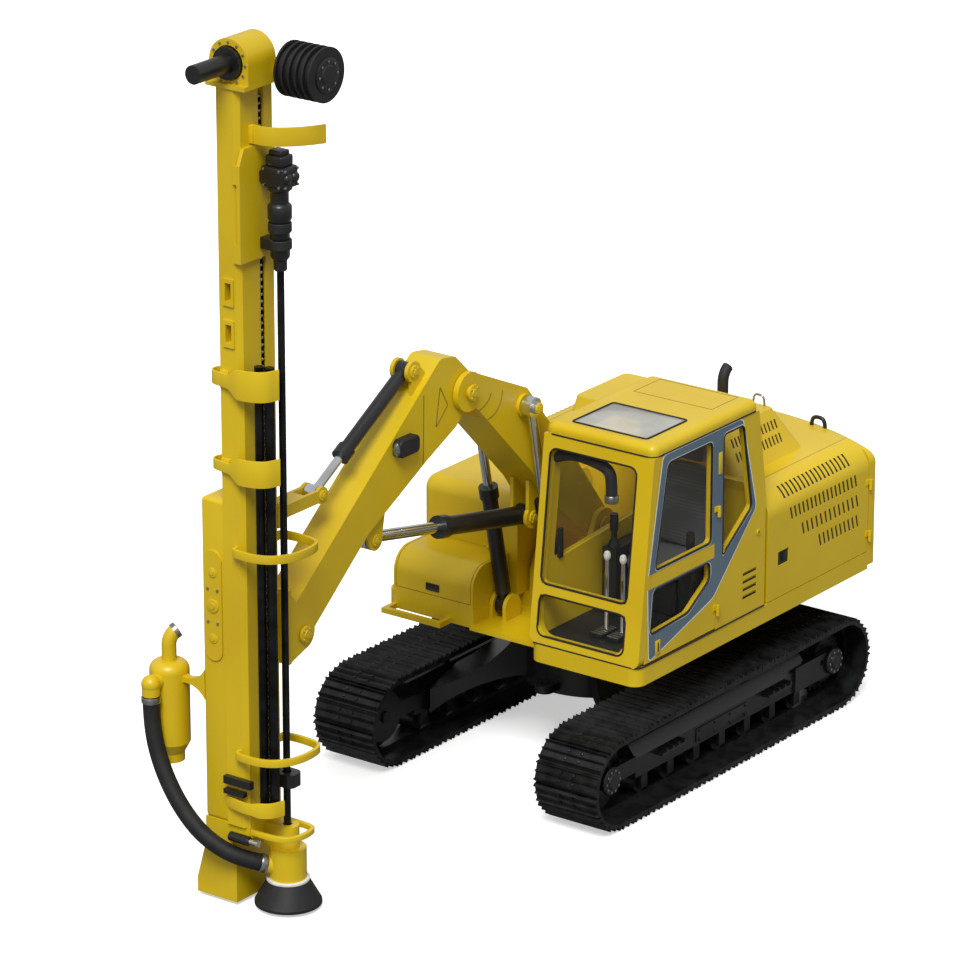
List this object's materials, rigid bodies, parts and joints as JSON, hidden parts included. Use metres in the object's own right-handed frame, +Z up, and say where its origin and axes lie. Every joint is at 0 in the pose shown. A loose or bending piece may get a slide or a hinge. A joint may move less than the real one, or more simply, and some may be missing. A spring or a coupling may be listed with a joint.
{
  "type": "top hammer drill rig",
  "caption": "Tracked excavator carrier with boom and arm holding an upright drill mast, its rock drill, hose drum, dust hood and cyclone.",
  "frame": {"origin": "middle of the machine's box, on the ground under the tracks", "axes": "+X forward to the mast, +Y to the machine's left, where the cab is, +Z up"},
  "size_m": [6.6598, 2.53, 6.1999],
  "materials": {
    "yellow_paint": "gloss enamel",
    "black_paint": "satin enamel",
    "chrome": "polished",
    "steel": "worn",
    "rubber": "matt",
    "plastic": "moulded",
    "seat_fabric": "woven",
    "glass": "clear"
  },
  "bodies": {
    "undercarriage": {"carbody": "black_paint", "carbody_legs": "black_paint", "idlers": "black_paint", "slewing_ring": "steel", "sprockets": "black_paint", "track_frame_left": "black_paint", "track_frame_right": "black_paint", "track_left": "steel", "track_right": "steel", "track_rollers": "black_paint"},
    "upper": {"cab_floor": "black_paint", "cab_front": "yellow_paint", "cab_glass": "glass", "cab_left_wall": "yellow_paint", "cab_rear_wall": "yellow_paint", "cab_right_wall": "yellow_paint", "cab_roof": "yellow_paint", "controls": "plastic", "counterweight": "yellow_paint", "engine_block": "black_paint", "engine_housing": "yellow_paint", "main_frame": "yellow_paint", "seat": "seat_fabric", "tank": "yellow_paint", "toolbox": "yellow_paint"},
    "cab_door": {"cab_door": "yellow_paint", "door_glass": "glass"},
    "service_door_left": {"service_door_left": "yellow_paint"},
    "service_door_right": {"service_door_right": "yellow_paint"},
    "engine_hood": {"engine_hood": "yellow_paint", "exhaust": "black_paint"},
    "toolbox_lid": {"toolbox_lid": "yellow_paint"},
    "boom": {"boom": "yellow_paint"},
    "boom_barrels": {"boom_barrels": "black_paint"},
    "boom_rods": {"boom_rods": "chrome"},
    "arm": {"arm": "yellow_paint", "work_lamp": "plastic"},
    "arm_barrel": {"arm_barrel": "black_paint"},
    "arm_rod": {"arm_rod": "chrome"},
    "tilt_barrel": {"tilt_barrel": "black_paint"},
    "tilt_rod": {"tilt_rod": "chrome"},
    "mast": {"cyclone": "yellow_paint", "dust_hood": "yellow_paint", "feed_beam": "yellow_paint", "feed_chain": "steel", "feed_motor": "steel", "hood_skirt": "rubber", "hose_hoops": "yellow_paint", "mast_bracket": "yellow_paint", "mast_cradle": "yellow_paint", "mast_foot": "yellow_paint", "mast_head": "yellow_paint", "rod_guides": "black_paint", "rod_hooks": "yellow_paint", "spare_rods": "steel", "suction_hose": "rubber"},
    "hose_drum": {"hose_drum": "plastic"},
    "drifter": {"drifter": "black_paint", "drifter_sledge": "yellow_paint"},
    "drill_rod": {"drill_rod": "steel"}
  },
  "joints": [
    {"name": "swing", "type": "hinge", "parent": "undercarriage", "child": "upper", "pos_m": [-1.13, 0, 1], "axis": [0, 0, 1], "continuous": true},
    {"name": "cab_door", "type": "hinge", "parent": "upper", "child": "cab_door", "pos_m": [-0.897, 1.236, 1.9], "axis": [0, 0, 1], "range_deg": [0, 170]},
    {"name": "service_door_left", "type": "hinge", "parent": "upper", "child": "service_door_left", "pos_m": [-2.916, 1.236, 1.5], "axis": [0, 0, 1], "range_deg": [0, 120]},
    {"name": "service_door_right", "type": "hinge", "parent": "upper", "child": "service_door_right", "pos_m": [-2.916, -1.236, 1.5], "axis": [0, 0, -1], "range_deg": [0, 120]},
    {"name": "engine_hood", "type": "hinge", "parent": "upper", "child": "engine_hood", "pos_m": [-2.586, 0.08, 2.016], "axis": [0, -1, 0], "range_deg": [0, 60]},
    {"name": "toolbox_lid", "type": "hinge", "parent": "upper", "child": "toolbox_lid", "pos_m": [-0.581, -0.79, 1.476], "axis": [0, -1, 0], "range_deg": [0, 70]},
    {"name": "boom_lift", "type": "hinge", "parent": "upper", "child": "boom", "pos_m": [-1.03, -0.09, 1.68], "axis": [0, -1, 0], "range_deg": [-15, 20]},
    {"name": "boom_barrel_swing", "type": "hinge", "parent": "upper", "child": "boom_barrels", "pos_m": [-0.45, -0.09, 1.125], "axis": [0, -1, 0], "range_deg": [-11.79, 15.56]},
    {"name": "boom_rod_slide", "type": "slide", "parent": "boom_barrels", "child": "boom_rods", "axis": [0.2086, 0, 0.978], "range_m": [-0.1803, 0.2387]},
    {"name": "arm_crowd", "type": "hinge", "parent": "boom", "child": "arm", "pos_m": [0.55, -0.09, 3.13], "axis": [0, 1, 0], "range_deg": [-25, 20]},
    {"name": "arm_barrel_swing", "type": "hinge", "parent": "boom", "child": "arm_barrel", "pos_m": [-0.34, -0.09, 1.91], "axis": [0, -1, 0], "range_deg": [-8.97, 11.09]},
    {"name": "arm_rod_slide", "type": "slide", "parent": "arm_barrel", "child": "arm_rod", "axis": [0.98, 0, 0.1991], "range_m": [-0.352, 0.4387]},
    {"name": "mast_tilt", "type": "hinge", "parent": "arm", "child": "mast", "pos_m": [2.44, -0.09, 1.9], "axis": [0, -1, 0], "range_deg": [-30, 8]},
    {"name": "tilt_barrel_swing", "type": "hinge", "parent": "arm", "child": "tilt_barrel", "pos_m": [1.07, -0.09, 3.4], "axis": [0, -1, 0], "range_deg": [-3.57, 12]},
    {"name": "tilt_rod_slide", "type": "slide", "parent": "tilt_barrel", "child": "tilt_rod", "axis": [0.8626, 0, -0.5059], "range_m": [-0.1074, 0.389]},
    {"name": "feed", "type": "slide", "parent": "mast", "child": "drifter", "axis": [0, 0, -1], "range_m": [0, 3.5]},
    {"name": "drill_spin", "type": "hinge", "parent": "drifter", "child": "drill_rod", "pos_m": [2.74, 0.15, 4.6], "axis": [0, 0, 1], "continuous": true},
    {"name": "hose_drum", "type": "hinge", "parent": "mast", "child": "hose_drum", "pos_m": [2.63, 0.32, 5.97], "axis": [0, 1, 0], "continuous": true}
  ],
  "couplings": [
    {"joint": "boom_barrel_swing", "follows": "boom_lift", "ratio": 0.7529},
    {"joint": "boom_rod_slide", "follows": "boom_lift", "m_per_rad": 0.6695},
    {"joint": "arm_barrel_swing", "follows": "arm_crowd", "ratio": -0.4234},
    {"joint": "arm_rod_slide", "follows": "arm_crowd", "m_per_rad": -0.994},
    {"joint": "tilt_barrel_swing", "follows": "mast_tilt", "ratio": -0.3833},
    {"joint": "tilt_rod_slide", "follows": "mast_tilt", "m_per_rad": -0.7334}
  ]
}
